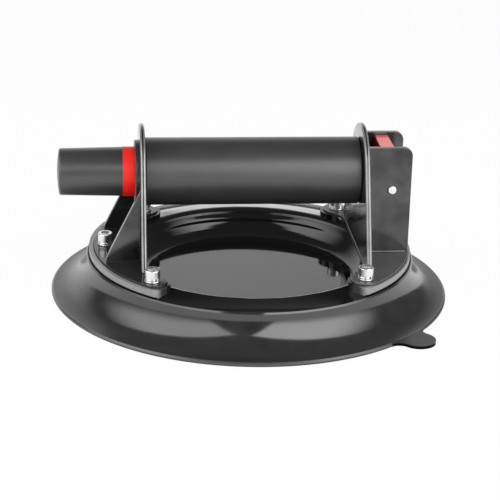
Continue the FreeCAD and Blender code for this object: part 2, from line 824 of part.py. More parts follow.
def port_filter():
    return upright_cylinder(filter_radius, chamber_depth, chamber_depth + filter_thickness, pipe_x)


def lever_pin():
    half = cheek_outer + lever_pin_stand_out
    pin = cross_cylinder(lever_pin_radius, -half, half)
    ends = circles_at(pin, point(0, 1, 0), half) + circles_at(pin, point(0, 1, 0), -half)
    return pin.makeFillet(lever_pin_dome, ends)


def release_lever():
    half = cheek_inner - lever_side_clearance
    back = lever_face + lever_top_depth
    hub_front = point(lever_pin_x - lever_hub_radius, -half, lever_pin_z)
    hub_back = point(lever_pin_x + lever_hub_radius, -half, lever_pin_z)
    face_foot = point(lever_face, -half, handle_height - lever_face_drop)
    top_front = point(lever_face, -half, lever_top)
    top_back = point(back, -half, lever_top)
    hollow = point(back - lever_thumb_hollow, -half, handle_height + lever_rise / 2)
    edges = lines_through([hub_back, hub_front, face_foot, top_front, top_back])
    edges.append(arc(top_back, hollow, hub_back))
    arm = face_of(edges).extrude(point(0, 2 * half, 0))
    across = straight_edges(arm, point(0, 1, 0))
    top_edges = [edge for edge in across if edge.CenterOfMass.z > lever_top - lever_edge_round]
    arm = arm.makeFillet(lever_edge_round, top_edges)
    toe_corner = point(lever_toe_start, -half, lever_pin_z - lever_toe_drop)
    toe = Part.makeBox(lever_toe_depth, 2 * half, lever_toe_drop, toe_corner)
    lever = cross_cylinder(lever_hub_radius, -half, half).multiFuse([arm, toe]).removeSplitter()
    return lever.cut(cross_cylinder(lever_pin_radius + fit_clearance, -half, half))


pieces = [vacuum_pad, pull_tab, base_plate, threaded_inserts, foot_screws, plain_washers, spring_washers]
pieces += [valve_end_foot, pump_end_foot, pump_end_plate, valve_end_plate, pump_end_gussets, lever_cheeks]
pieces += [pump_barrel, grip_sleeve, gland_nut, guide_bush, plunger, indicator_ring, piston, piston_seal]
pieces += [return_spring, valve_block, block_seal, inlet_valve, stem_guide, valve_stem, stem_seal]
pieces += [valve_spring, port_block, vacuum_pipe, pipe_grommet, port_filter, lever_pin, release_lever]

os.makedirs("parts", exist_ok=True)
for make in pieces:
    shape = make()
    shape.exportStep("parts/" + make.__name__ + ".step")
    print(make.__name__, len(shape.Solids), shape.isValid(), round(shape.Volume, 1))
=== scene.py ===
import bpy
import bmesh
import json
import math
from mathutils import Matrix, Vector


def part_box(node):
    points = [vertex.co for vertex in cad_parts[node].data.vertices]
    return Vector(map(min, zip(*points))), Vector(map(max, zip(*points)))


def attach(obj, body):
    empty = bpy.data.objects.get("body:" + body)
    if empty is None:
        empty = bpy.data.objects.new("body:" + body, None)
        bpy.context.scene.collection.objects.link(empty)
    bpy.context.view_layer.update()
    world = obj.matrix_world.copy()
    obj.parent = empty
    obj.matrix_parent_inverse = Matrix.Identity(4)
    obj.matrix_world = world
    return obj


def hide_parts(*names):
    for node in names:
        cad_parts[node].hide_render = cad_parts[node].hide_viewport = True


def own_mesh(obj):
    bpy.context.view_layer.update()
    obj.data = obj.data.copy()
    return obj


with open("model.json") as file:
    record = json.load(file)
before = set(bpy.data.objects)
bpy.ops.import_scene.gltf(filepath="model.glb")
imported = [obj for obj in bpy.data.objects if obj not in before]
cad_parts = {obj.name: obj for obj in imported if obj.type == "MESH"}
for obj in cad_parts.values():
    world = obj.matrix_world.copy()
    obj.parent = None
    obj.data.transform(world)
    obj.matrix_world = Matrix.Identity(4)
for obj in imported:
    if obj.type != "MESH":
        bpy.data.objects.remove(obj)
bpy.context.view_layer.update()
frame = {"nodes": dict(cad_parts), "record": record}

mm = 0.001
scene = bpy.context.scene
nodes = frame["nodes"]
print("frame loaded:", len(nodes), "solids")


# small helpers for building node trees
def addNode(tree, kind, place, **settings):
    node = tree.nodes.new(kind)
    node.location = place
    for name, value in settings.items():
        setattr(node, name, value)
    return node


def join(tree, source, output, target, entry):
    tree.links.new(source.outputs[output], target.inputs[entry])


def setSpan(node, side, span):
    # the From or To values of a Map Range node
    for end, value in zip((" Min", " Max"), span):
        node.inputs[side + end].default_value = value


def newGroup(name, entries, result):
    # a shader group with its inputs, named with their kinds, and its number outputs
    group = bpy.data.node_groups.new(name, "ShaderNodeTree")
    for socket, kind in entries:
        group.interface.new_socket(socket, in_out="INPUT", socket_type="NodeSocket" + kind)
    for socket in result:
        group.interface.new_socket(socket, in_out="OUTPUT", socket_type="NodeSocketFloat")
    return group


def addRayTest(tree, place):
    # tells the camera's own rays from those that come by a mirror or through glass
    path = addNode(tree, "ShaderNodeLightPath", place)
    sharp = addNode(tree, "ShaderNodeMath", (place[0] + 200, place[1] - 60), operation="MAXIMUM")
    join(tree, path, "Is Glossy Ray", sharp, 0)
    join(tree, path, "Is Transmission Ray", sharp, 1)
    return path, sharp


# camera at the photograph's viewpoint
cameraView = {
    "place": (-0.1026007, -0.9923575, 0.3973080),
    "right": (0.99527648, -0.09391914, 0.02457498),
    "down": (-0.01008041, -0.35174897, -0.93604009),
    "forward": (0.09655630, 0.93137096, -0.35103422),
    "lens": 131.616,
    "sensor": 36.0,
}


def placeCamera():
    camera = bpy.data.cameras.new("photoCamera")
    camera.lens = cameraView["lens"]
    camera.sensor_width = cameraView["sensor"]
    camera.sensor_fit = "HORIZONTAL"
    holder = bpy.data.objects.new("photoCamera", camera)
    scene.collection.objects.link(holder)
    columns = [Vector(cameraView["right"]), -Vector(cameraView["down"]), -Vector(cameraView["forward"])]
    turn = Matrix(columns).transposed()
    holder.matrix_world = Matrix.Translation(cameraView["place"]) @ turn.to_4x4()
    scene.camera = holder


placeCamera()
print("camera placed")


# studio: a white backdrop low behind, a dark room above and on the camera's side, and soft boxes
studio = {
    "ambient": 0.3,
    "roomDark": 0.11,
    "roomBright": 1.0,
    "backdropFacing": (-0.174, 0.985, 0.0),
    "backdropSide": (0.66, 0.93),  # how far round the backdrop reaches, along its facing
    "backdropTop": (0.6, 0.78),    # where it ends upwards, as the direction's Z
    "aim": (0.0, 0.0, 0.04),
    "boxes": [
        {"name": "leftBox", "turn": -71.5, "rise": 26.0, "away": 1.2, "size": (2.36, 1.5),
         "glow": 2.2, "diffuse": True,
         "fade": {"Left": 0.45, "Right": 0.02, "Bottom": 0.5, "Top": 0.08}},
        {"name": "rightBox", "turn": 49.0, "rise": 23.0, "away": 1.2, "size": (2.09, 1.56),
         "glow": 3.2, "diffuse": True,
         "fade": {"Left": 0.02, "Right": 0.5, "Bottom": 0.4, "Top": 0.08}},
        {"name": "horizonStrip", "turn": 180.0, "rise": 5.0, "away": 1.6, "size": (1.2, 0.22),
         "glow": 0.9, "diffuse": False,
         "fade": {"Left": 0.2, "Right": 0.2, "Bottom": 0.1, "Top": 0.3}},
    ],
}


def buildWorld():
    world = bpy.data.worlds.new("studioWorld")
    scene.world = world
    world.use_nodes = True
    tree = world.node_tree
    tree.nodes.clear()
    coords = addNode(tree, "ShaderNodeTexCoord", (-1200, 0))
    split = addNode(tree, "ShaderNodeSeparateXYZ", (-1020, 0))
    facing = addNode(tree, "ShaderNodeVectorMath", (-1020, 160), operation="DOT_PRODUCT")
    facing.inputs[1].default_value = studio["backdropFacing"]
    side = addNode(tree, "ShaderNodeMapRange", (-840, 100), interpolation_type="SMOOTHSTEP")
    setSpan(side, "From", studio["backdropSide"])
    top = addNode(tree, "ShaderNodeMapRange", (-840, -160), interpolation_type="SMOOTHSTEP")
    setSpan(top, "From", studio["backdropTop"])
    setSpan(top, "To", (1.0, 0.0))
    seen = addNode(tree, "ShaderNodeMath", (-640, 0), operation="MULTIPLY")
    room = addNode(tree, "ShaderNodeMapRange", (-460, 0))
    setSpan(room, "To", (studio["roomDark"], studio["roomBright"]))
    path, sharp = addRayTest(tree, (-820, 420))
    glossyLevel = addNode(tree, "ShaderNodeMix", (-260, 60), data_type="FLOAT")
    glossyLevel.inputs["A"].default_value = studio["ambient"]
    level = addNode(tree, "ShaderNodeMix", (-80, 120), data_type="FLOAT")
    level.inputs["B"].default_value = 1.0
    surround = addNode(tree, "ShaderNodeBackground", (100, 0))
    surround.inputs["Color"].default_value = (1.0, 1.0, 1.0, 1.0)
    out = addNode(tree, "ShaderNodeOutputWorld", (280, 0))
    join(tree, coords, "Generated", split, "Vector")
    join(tree, coords, "Generated", facing, 0)
    join(tree, facing, "Value", side, "Value")
    join(tree, split, "Z", top, "Value")
    join(tree, side, "Result", seen, 0)
    join(tree, top, "Result", seen, 1)
    join(tree, seen, "Value", room, "Value")
    join(tree, sharp, "Value", glossyLevel, "Factor")
    join(tree, room, "Result", glossyLevel, "B")
    join(tree, path, "Is Camera Ray", level, "Factor")
    join(tree, glossyLevel, "Result", level, "A")
    join(tree, level, "Result", surround, "Strength")
    join(tree, surround, "Background", out, "Surface")


# soft edge of a light box, from the place on its own face
def buildBoxFade():
    sides = [(name, "Float") for name in ("Left", "Right", "Bottom", "Top")]
    group = newGroup("boxFade", [("Place", "Vector")] + sides, ["Level"])
    entry = addNode(group, "NodeGroupInput", (-900, 0))
    split = addNode(group, "ShaderNodeSeparateXYZ", (-700, 0))
    join(group, entry, "Place", split, "Vector")
    shares = []
    for near, far, axis in (("Left", "Right", "X"), ("Bottom", "Top", "Y")):
        back = addNode(group, "ShaderNodeMath", (-500, -160 * len(shares)), operation="SUBTRACT")
        back.inputs[0].default_value = 1.0
        join(group, split, axis, back, 1)
        for side, place in ((near, split.outputs[axis]), (far, back.outputs["Value"])):
            ramp = addNode(group, "ShaderNodeMapRange", (-300, -160 * len(shares)))
            ramp.interpolation_type = "SMOOTHSTEP"
            group.links.new(place, ramp.inputs["Value"])
            join(group, entry, side, ramp, "From Max")
            shares.append(ramp.outputs["Result"])
    level = shares[0]
    for step, share in enumerate(shares[1:]):
        both = addNode(group, "ShaderNodeMath", (-80 + 160 * step, 0), operation="MULTIPLY")
        group.links.new(level, both.inputs[0])
        group.links.new(share, both.inputs[1])
        level = both.outputs["Value"]
    leave = addNode(group, "NodeGroupOutput", (440, 0))
    group.links.new(level, leave.inputs["Level"])
    return group


def buildLights():
    boxFade = buildBoxFade()
    for box in studio["boxes"]:
        lamp = bpy.data.lights.new(box["name"], "AREA")
        lamp.shape = "RECTANGLE"
        lamp.size, lamp.size_y = box["size"]
        lamp.energy = box["glow"] * math.pi * lamp.size * lamp.size_y
        lamp.use_nodes = True
        tree = lamp.node_tree
        place = addNode(tree, "ShaderNodeNewGeometry", (-500, 0))
        fade = addNode(tree, "ShaderNodeGroup", (-260, 0), node_tree=boxFade)
        for side, share in box["fade"].items():
            fade.inputs[side].default_value = share
        join(tree, place, "Parametric", fade, "Place")
        join(tree, fade, "Level", tree.nodes["Emission"], "Strength")
        holder = bpy.data.objects.new(box["name"], lamp)
        scene.collection.objects.link(holder)
        turn = math.radians(box["turn"])
        rise = math.radians(box["rise"])
        flat = math.cos(rise)
        towards = Vector((math.sin(turn) * flat, -math.cos(turn) * flat, math.sin(rise)))
        holder.location = Vector(studio["aim"]) + box["away"] * towards
        holder.rotation_euler = (-towards).to_track_quat("-Z", "Y").to_euler()
        holder.visible_camera = False
        holder.visible_diffuse = box["diffuse"]


# pale floor that glows to the camera and in mirrors
floorLook = {
    "radius": 6.0, "segments": 96,
    "colour": (0.9, 0.9, 0.9, 1.0), "cloudColour": (0.94, 0.94, 0.94, 1.0), "cloudScale": 3.0,
    "glow": 0.95,
}


def buildFloor():
    mesh = bpy.data.meshes.new("studioFloor")
    shape = bmesh.new()
    bmesh.ops.create_circle(shape, cap_ends=True, segments=floorLook["segments"], radius=floorLook["radius"])
    shape.to_mesh(mesh)
    shape.free()
    floor = bpy.data.objects.new("studioFloor", mesh)
    scene.collection.objects.link(floor)
    material = bpy.data.materials.new("paleFloor")
    material.use_nodes = True
    tree = material.node_tree
    tree.nodes.clear()
    coords = addNode(tree, "ShaderNodeTexCoord", (-800, 0))
    cloud = addNode(tree, "ShaderNodeTexNoise", (-620, 0))
    cloud.inputs["Scale"].default_value = floorLook["cloudScale"]
    tone = addNode(tree, "ShaderNodeMix", (-420, 0), data_type="RGBA")
    tone.inputs["A"].default_value = floorLook["colour"]
    tone.inputs["B"].default_value = floorLook["cloudColour"]
    matte = addNode(tree, "ShaderNodeBsdfDiffuse", (-200, 80))
    glow = addNode(tree, "ShaderNodeEmission", (-200, -80))
    glow.inputs["Strength"].default_value = 1.0
    path, sharp = addRayTest(tree, (-820, 360))
    seen = addNode(tree, "ShaderNodeMath", (-420, 280), operation="MAXIMUM")
    share = addNode(tree, "ShaderNodeMath", (-200, 260), operation="MULTIPLY")
    share.inputs[1].default_value = floorLook["glow"]
    blend = addNode(tree, "ShaderNodeMixShader", (40, 40))
    out = addNode(tree, "ShaderNodeOutputMaterial", (240, 40))
    join(tree, coords, "Object", cloud, "Vector")
    join(tree, cloud, "Fac", tone, "Factor")
    join(tree, tone, "Result", matte, "Color")
    join(tree, path, "Is Camera Ray", seen, 0)
    join(tree, sharp, "Value", seen, 1)
    join(tree, seen, "Value", share, 0)
    join(tree, share, "Value", blend, "Fac")
    join(tree, matte, "BSDF", blend, 1)
    join(tree, glow, "Emission", blend, 2)
    join(tree, blend, "Shader", out, "Surface")
    mesh.materials.append(material)


buildWorld()
buildLights()
buildFloor()
print("studio built")


# fine grain shared by every finish: a tight height and a broad mottle
grainLook = {"Height": {"Detail": 3.0, "Roughness": 0.55}, "Mottle": {"Detail": 5.0, "Roughness": 0.6}}


def buildGrain():
    entries = [("Vector", "Vector"), ("Stretch", "Vector"), ("Fine", "Float"), ("Broad", "Float")]
    group = newGroup("surfaceGrain", entries, grainLook)
    entry = addNode(group, "NodeGroupInput", (-700, 0))
    stretch = addNode(group, "ShaderNodeVectorMath", (-500, 100), operation="MULTIPLY")
    fine = addNode(group, "ShaderNodeTexNoise", (-300, 120))
    broad = addNode(group, "ShaderNodeTexNoise", (-300, -160))
    leave = addNode(group, "NodeGroupOutput", (0, 0))
    for noise, result in ((fine, "Height"), (broad, "Mottle")):
        for name, value in grainLook[result].items():
            noise.inputs[name].default_value = value
        join(group, noise, "Fac", leave, result)
    join(group, entry, "Vector", stretch, 0)
    join(group, entry, "Stretch", stretch, 1)
    join(group, stretch, "Vector", fine, "Vector")
    join(group, entry, "Fine", fine, "Scale")
    join(group, entry, "Vector", broad, "Vector")
    join(group, entry, "Broad", broad, "Scale")
    return group


# mask by reach from the pad's axis and by height, each a soft step between two values
def buildZoneMask():
    limits = [(name, "Float") for name in ("Reach From", "Reach To", "Height From", "Height To")]
    group = newGroup("zoneMask", [("Vector", "Vector")] + limits, ["Mask"])
    entry = addNode(group, "NodeGroupInput", (-800, 0))
    flatten = addNode(group, "ShaderNodeVectorMath", (-600, 100), operation="MULTIPLY")
    flatten.inputs[1].default_value = (1.0, 1.0, 0.0)
    reach = addNode(group, "ShaderNodeVectorMath", (-420, 100), operation="LENGTH")
    split = addNode(group, "ShaderNodeSeparateXYZ", (-420, -160))
    outward = addNode(group, "ShaderNodeMapRange", (-220, 100), interpolation_type="SMOOTHSTEP")
    upward = addNode(group, "ShaderNodeMapRange", (-220, -160), interpolation_type="SMOOTHSTEP")
    both = addNode(group, "ShaderNodeMath", (0, 0), operation="MULTIPLY")
    leave = addNode(group, "NodeGroupOutput", (180, 0))
    join(group, entry, "Vector", flatten, 0)
    join(group, entry, "Vector", split, "Vector")
    join(group, flatten, "Vector", reach, 0)
    join(group, reach, "Value", outward, "Value")
    join(group, split, "Z", upward, "Value")
    join(group, entry, "Reach From", outward, "From Min")
    join(group, entry, "Reach To", outward, "From Max")
    join(group, entry, "Height From", upward, "From Min")
    join(group, entry, "Height To", upward, "From Max")
    join(group, outward, "Result", both, 0)
    join(group, upward, "Result", both, 1)
    join(group, both, "Value", leave, "Mask")
    return group


# the bowl wall's slight roll, as a height that goes with Z
wallRoll = {
    "low": 13.0, "high": 23.5, "depth": 1.7,
    "stops": [(13.0, 0.62), (16.9, 0.3), (18.3, 0.68), (20.7, 0.42), (21.4, 0.42), (22.2, 0.6), (23.5, 0.5)],
}


def buildWallRoll():
    group = newGroup("wallRoll", [("Vector", "Vector")], ["Height"])
    entry = addNode(group, "NodeGroupInput", (-700, 0))
    split = addNode(group, "ShaderNodeSeparateXYZ", (-520, 0))
    climb = addNode(group, "ShaderNodeMapRange", (-340, 0))
    setSpan(climb, "From", (wallRoll["low"] * mm, wallRoll["high"] * mm))
    roll = addNode(group, "ShaderNodeValToRGB", (-140, 0))
    roll.color_ramp.interpolation = "B_SPLINE"
    stops = roll.color_ramp.elements
    while len(stops) < len(wallRoll["stops"]):
        stops.new(0.5)
    for stop, (z, level) in zip(stops, wallRoll["stops"]):
        stop.position = (z - wallRoll["low"]) / (wallRoll["high"] - wallRoll["low"])
        stop.color = (level, level, level, 1.0)
    leave = addNode(group, "NodeGroupOutput", (180, 0))
    join(group, entry, "Vector", split, "Vector")
    join(group, split, "Z", climb, "Value")
    join(group, climb, "Result", roll, "Fac")
    join(group, roll, "Color", leave, "Height")
    return group


mottleSpan = (0.3, 0.7)  # the part of the mottle's values that counts


# coat rubbed thin along the rounded edges, broken up by the mottle: partly wear, partly a painted highlight
# along the edges
def buildEdgeWearAndHighlight():
    group = newGroup("edgeWearAndHighlight", [(name, "Float") for name in ("Edge", "Mottle", "Break")], ["Mask"])
    entry = addNode(group, "NodeGroupInput", (-700, 0))
    patch = addNode(group, "ShaderNodeMapRange", (-480, -120))
    setSpan(patch, "From", mottleSpan)
    patch.inputs["To Max"].default_value = 1.0
    wornAndHighlit = addNode(group, "ShaderNodeMath", (-260, 0), operation="MULTIPLY", use_clamp=True)
    leave = addNode(group, "NodeGroupOutput", (-60, 0))
    join(group, entry, "Mottle", patch, "Value")
    join(group, entry, "Break", patch, "To Min")
    join(group, entry, "Edge", wornAndHighlit, 0)
    join(group, patch, "Result", wornAndHighlit, 1)
    join(group, wornAndHighlit, "Value", leave, "Mask")
    return group


surfaceGrain = buildGrain()
zoneMask = buildZoneMask()
rollHeight = buildWallRoll()
edgeWearAndHighlight = buildEdgeWearAndHighlight()


def blendOver(tree, kind, place, mask, under, over):
    # lays a constant over what is there already, by a mask
    node = addNode(tree, "ShaderNodeMix", place, data_type=kind)
    node.inputs["B"].default_value = over
    tree.links.new(mask, node.inputs["Factor"])
    tree.links.new(under, node.inputs["A"])
    return node.outputs["Result"]


# what a finish has unless it says otherwise
plainFinish = {
    "metal": 0.0, "specular": 0.5, "coat": 0.0, "coatRough": 0.05,
    "stretch": (1.0, 1.0, 1.0), "bumpDepth": 0.05, "smudge": (0.0, 1.0),
    "zones": (), "roll": False,
}
refraction = 1.5
handledSpan = (0.35, 0.65)  # the part of the mottle's values that dulls or polishes the coat
everywhere = (-2.0, -1.0)   # a step that lies below every reach and height


def makeFinish(name, settings):
    look = {**plainFinish, **settings}
    material = bpy.data.materials.new(name)
    material.use_nodes = True
    tree = material.node_tree
    shader = tree.nodes["Principled BSDF"]
    shader.inputs["Metallic"].default_value = look["metal"]
    shader.inputs["IOR"].default_value = refraction
    shader.inputs["Specular IOR Level"].default_value = look["specular"]
    shader.inputs["Coat Weight"].default_value = look["coat"]
    shader.inputs["Coat Roughness"].default_value = look["coatRough"]
    coords = addNode(tree, "ShaderNodeTexCoord", (-1300, 0))
    grain = addNode(tree, "ShaderNodeGroup", (-1080, 0), node_tree=surfaceGrain)
    grain.inputs["Stretch"].default_value = look["stretch"]
    grain.inputs["Fine"].default_value = look["fine"]
    grain.inputs["Broad"].default_value = look["broad"]
    smudge = addNode(tree, "ShaderNodeMapRange", (-960, 240))
    setSpan(smudge, "From", look["smudge"])
    tone = addNode(tree, "ShaderNodeMix", (-800, 160), data_type="RGBA")
    tone.inputs["A"].default_value = (*look["colour"][0], 1.0)
    tone.inputs["B"].default_value = (*look["colour"][1], 1.0)
    rough = addNode(tree, "ShaderNodeMapRange", (-800, -60))
    setSpan(rough, "From", mottleSpan)
    setSpan(rough, "To", look["rough"])
    bump = addNode(tree, "ShaderNodeBump", (-300, -260))
    bump.inputs["Strength"].default_value = look["bump"]
    bump.inputs["Distance"].default_value = look["bumpDepth"] * mm
    join(tree, coords, "Object", grain, "Vector")
    join(tree, grain, "Mottle", smudge, "Value")
    join(tree, smudge, "Result", tone, "Factor")
    join(tree, grain, "Mottle", rough, "Value")
    join(tree, grain, "Height", bump, "Height")
    if "sheenSmudge" in look:
        handled = addNode(tree, "ShaderNodeMapRange", (-800, -640))
        setSpan(handled, "From", handledSpan)
        handled.inputs["To Max"].default_value = look["sheenSmudge"]
        join(tree, grain, "Mottle", handled, "Value")
        join(tree, handled, "Result", shader, "Coat Weight")
    colour = tone.outputs["Result"]
    roughness = rough.outputs["Result"]
    for step, area in enumerate(look["zones"]):
        zone = addNode(tree, "ShaderNodeGroup", (-800, 420 + 200 * step), node_tree=zoneMask)
        for limit in ("Reach", "Height"):
            start, end = area.get(limit.lower(), everywhere)
            zone.inputs[limit + " From"].default_value = start * mm
            zone.inputs[limit + " To"].default_value = end * mm
        join(tree, coords, "Object", zone, "Vector")
        mask = zone.outputs["Mask"]
        colour = blendOver(tree, "RGBA", (-560, 160), mask, colour, (*area["colour"], 1.0))
        roughness = blendOver(tree, "FLOAT", (-560, -60), mask, roughness, area["rough"])
        # painted shade: these bands turn metallic as well as near-black
        if area.get("black"):  # a near-black metallic band gives back no light
            tree.links.new(mask, shader.inputs["Metallic"])
    # bare steel on the rounded edges: partly wear, partly a painted edge highlight
    if "wearAndHighlight" in look:
        wearAndHighlight = look["wearAndHighlight"]
        edge = addNode(tree, "ShaderNodeAttribute", (-800, 640), attribute_name="edgeRubAndHighlight")
        wornAndHighlit = addNode(tree, "ShaderNodeGroup", (-560, 480), node_tree=edgeWearAndHighlight)
        wornAndHighlit.inputs["Break"].default_value = wearAndHighlight["break"]
        join(tree, edge, "Fac", wornAndHighlit, "Edge")
        join(tree, grain, "Mottle", wornAndHighlit, "Mottle")
        mask = wornAndHighlit.outputs["Mask"]
        colour = blendOver(tree, "RGBA", (-300, 160), mask, colour, (*wearAndHighlight["colour"], 1.0))
        roughness = blendOver(tree, "FLOAT", (-300, -60), mask, roughness, wearAndHighlight["rough"])
        tree.links.new(mask, shader.inputs["Metallic"])
    tree.links.new(colour, shader.inputs["Base Color"])
    tree.links.new(roughness, shader.inputs["Roughness"])
    if look["roll"]:
        swell = addNode(tree, "ShaderNodeGroup", (-560, -480), node_tree=rollHeight)
        lean = addNode(tree, "ShaderNodeBump", (-460, -380))
        lean.inputs["Strength"].default_value = 1.0
        lean.inputs["Distance"].default_value = wallRoll["depth"] * mm
        join(tree, coords, "Object", swell, "Vector")
        join(tree, swell, "Height", lean, "Height")
        join(tree, lean, "Normal", bump, "Normal")
    join(tree, bump, "Normal", shader, "Normal")
    return material


# lighter bare steel for the rounded edges: partly wear, partly a painted edge highlight
bareEdgeAndHighlight = {"break": 0.6, "colour": (0.62, 0.62, 0.63), "rough": 0.3}
finishes = {
    "padRubber": {
        "colour": ((0.004, 0.004, 0.0045), (0.034, 0.034, 0.0345)), "rough": (0.09, 0.16),
        "fine": 1400.0, "broad": 60.0, "bump": 0.05, "specular": 1.0,
        "zones": [
            {"reach": (101.0, 108.0), "colour": (0.016, 0.016, 0.0165), "rough": 0.34},
            # painted highlight: a lighter grey along the flange's outer edge
            {"reach": (113.2, 114.0), "colour": (0.05, 0.05, 0.051), "rough": 0.25},
            # painted reflection: a light grey band on the lip's inner face, over the black rubber
            {"reach": (93.8, 93.5), "height": (20.9, 21.1), "colour": (0.47, 0.47, 0.47), "rough": 0.4},
            # painted shade: the pad's outer edge goes black and metallic near the floor, for the contact
            # shadow
            {"reach": (112.0, 113.0), "height": (1.5, 0.2), "colour": (0.005, 0.005, 0.005), "rough": 0.6,
             "black": True},
        ],
    },
    "tabRubber": {
        "colour": ((0.012, 0.012, 0.0125), (0.02, 0.02, 0.0205)), "rough": (0.28, 0.36),
        "fine": 1400.0, "broad": 60.0, "bump": 0.05,
        # painted shade: the tab goes black and metallic near the floor, for the contact shadow
        "zones": [{"height": (2.35, 1.75), "colour": (0.005, 0.005, 0.005), "rough": 0.6, "black": True}],
    },
    "glossBase": {
        "colour": ((0.006, 0.006, 0.0065), (0.009, 0.009, 0.0095)), "rough": (0.03, 0.07),
        "fine": 260.0, "broad": 18.0, "bump": 0.02, "specular": 0.68, "roll": True,
        "zones": [
            # painted reflection: the raised pads' walls above the rim in lighter grey, palest on the outer
            # side
            {"reach": (83.0, 84.0), "height": (22.75, 22.95), "colour": (0.03, 0.03, 0.031), "rough": 0.3},
            {"reach": (87.5, 92.6), "height": (22.75, 22.95), "colour": (0.23, 0.23, 0.231), "rough": 0.3},
            # painted shade: a black band at the foot of the base's outer wall, in the groove by the pad's
            # lip
            {"reach": (91.8, 92.6), "height": (23.9, 23.3), "colour": (0.004, 0.004, 0.004), "rough": 0.5,
             "black": True},
        ],
    },
    "powderCoat": {
        "colour": ((0.002, 0.002, 0.002), (0.034, 0.034, 0.0345)), "rough": (0.1, 0.16),
        "smudge": (0.3, 0.7), "sheenSmudge": 0.9, "coatRough": 0.14, "wearAndHighlight": bareEdgeAndHighlight,
        "fine": 1100.0, "broad": 55.0, "bump": 0.1, "bumpDepth": 0.02, "specular": 0.75,
    },
    # painted light: the valve-end foot's coat, lighter than the pump-end foot's coat
    "satinCoatPaintedLight": {
        "colour": ((0.05, 0.05, 0.051), (0.064, 0.064, 0.065)), "rough": (0.24, 0.32), "wearAndHighlight": bareEdgeAndHighlight,
        "fine": 1100.0, "broad": 40.0, "bump": 0.1, "bumpDepth": 0.02,
    },
    "footCoat": {
        "colour": ((0.018, 0.018, 0.0185), (0.026, 0.026, 0.0265)), "rough": (0.07, 0.13),
        "fine": 900.0, "broad": 40.0, "bump": 0.05, "bumpDepth": 0.02, "specular": 0.6,
    },
    "gripMatte": {
        "colour": ((0.021, 0.021, 0.0215), (0.032, 0.032, 0.033)), "rough": (0.34, 0.42),
        "fine": 2200.0, "broad": 60.0, "bump": 0.25, "bumpDepth": 0.04, "specular": 1.0,
    },
    "plungerMatte": {
        "colour": ((0.025, 0.025, 0.0255), (0.036, 0.036, 0.037)), "rough": (0.3, 0.38),
        "fine": 2200.0, "broad": 60.0, "bump": 0.2, "bumpDepth": 0.03, "specular": 1.0,
    },
    "indicatorRed": {
        "colour": ((0.86, 0.014, 0.008), (0.95, 0.022, 0.012)), "rough": (0.42, 0.5),
        "fine": 1800.0, "broad": 80.0, "bump": 0.1, "bumpDepth": 0.02, "specular": 0.3,
    },
    "leverRed": {
        "colour": ((0.82, 0.016, 0.016), (0.9, 0.028, 0.028)), "rough": (0.2, 0.28),
        "coat": 0.5, "coatRough": 0.2,
        "fine": 1500.0, "broad": 70.0, "bump": 0.1, "bumpDepth": 0.02, "specular": 1.0,
    },
    "brightZinc": {
        "colour": ((0.82, 0.82, 0.83), (0.93, 0.93, 0.93)), "rough": (0.25, 0.33), "metal": 1.0,
        "fine": 1600.0, "broad": 160.0, "bump": 0.1, "bumpDepth": 0.02, "stretch": (1.0, 1.0, 6.0),
    },
    "turnedBrass": {
        "colour": ((0.62, 0.42, 0.18), (0.74, 0.54, 0.26)), "rough": (0.24, 0.34), "metal": 1.0,
        "fine": 1600.0, "broad": 120.0, "bump": 0.15, "bumpDepth": 0.02,
    },
    "drawnAluminium": {
        "colour": ((0.6, 0.6, 0.62), (0.72, 0.72, 0.74)), "rough": (0.24, 0.36), "metal": 1.0,
        "fine": 900.0, "broad": 80.0, "bump": 0.15, "bumpDepth": 0.02,
    },
    "naturalAcetal": {
        "colour": ((0.72, 0.71, 0.68), (0.8, 0.79, 0.76)), "rough": (0.36, 0.46),
        "fine": 1200.0, "broad": 60.0, "bump": 0.1, "bumpDepth": 0.02,
    },
    "sealRubber": {
        "colour": ((0.014, 0.014, 0.014), (0.024, 0.024, 0.024)), "rough": (0.5, 0.62),
        "fine": 1600.0, "broad": 120.0, "bump": 0.2, "bumpDepth": 0.03,
    },
    "springSteel": {
        "colour": ((0.52, 0.52, 0.54), (0.66, 0.66, 0.68)), "rough": (0.24, 0.36), "metal": 1.0,
        "fine": 1800.0, "broad": 140.0, "bump": 0.12, "bumpDepth": 0.02,
    },
    "valvePlastic": {
        "colour": ((0.03, 0.03, 0.031), (0.045, 0.045, 0.046)), "rough": (0.4, 0.52),
        "fine": 1600.0, "broad": 90.0, "bump": 0.2, "bumpDepth": 0.03,
    },
    "greyFelt": {
        "colour": ((0.42, 0.42, 0.41), (0.62, 0.62, 0.6)), "rough": (0.85, 0.95),
        "fine": 2600.0, "broad": 300.0, "bump": 0.6, "bumpDepth": 0.15,
    },
}
materials = {name: makeFinish(name, look) for name, look in finishes.items()}

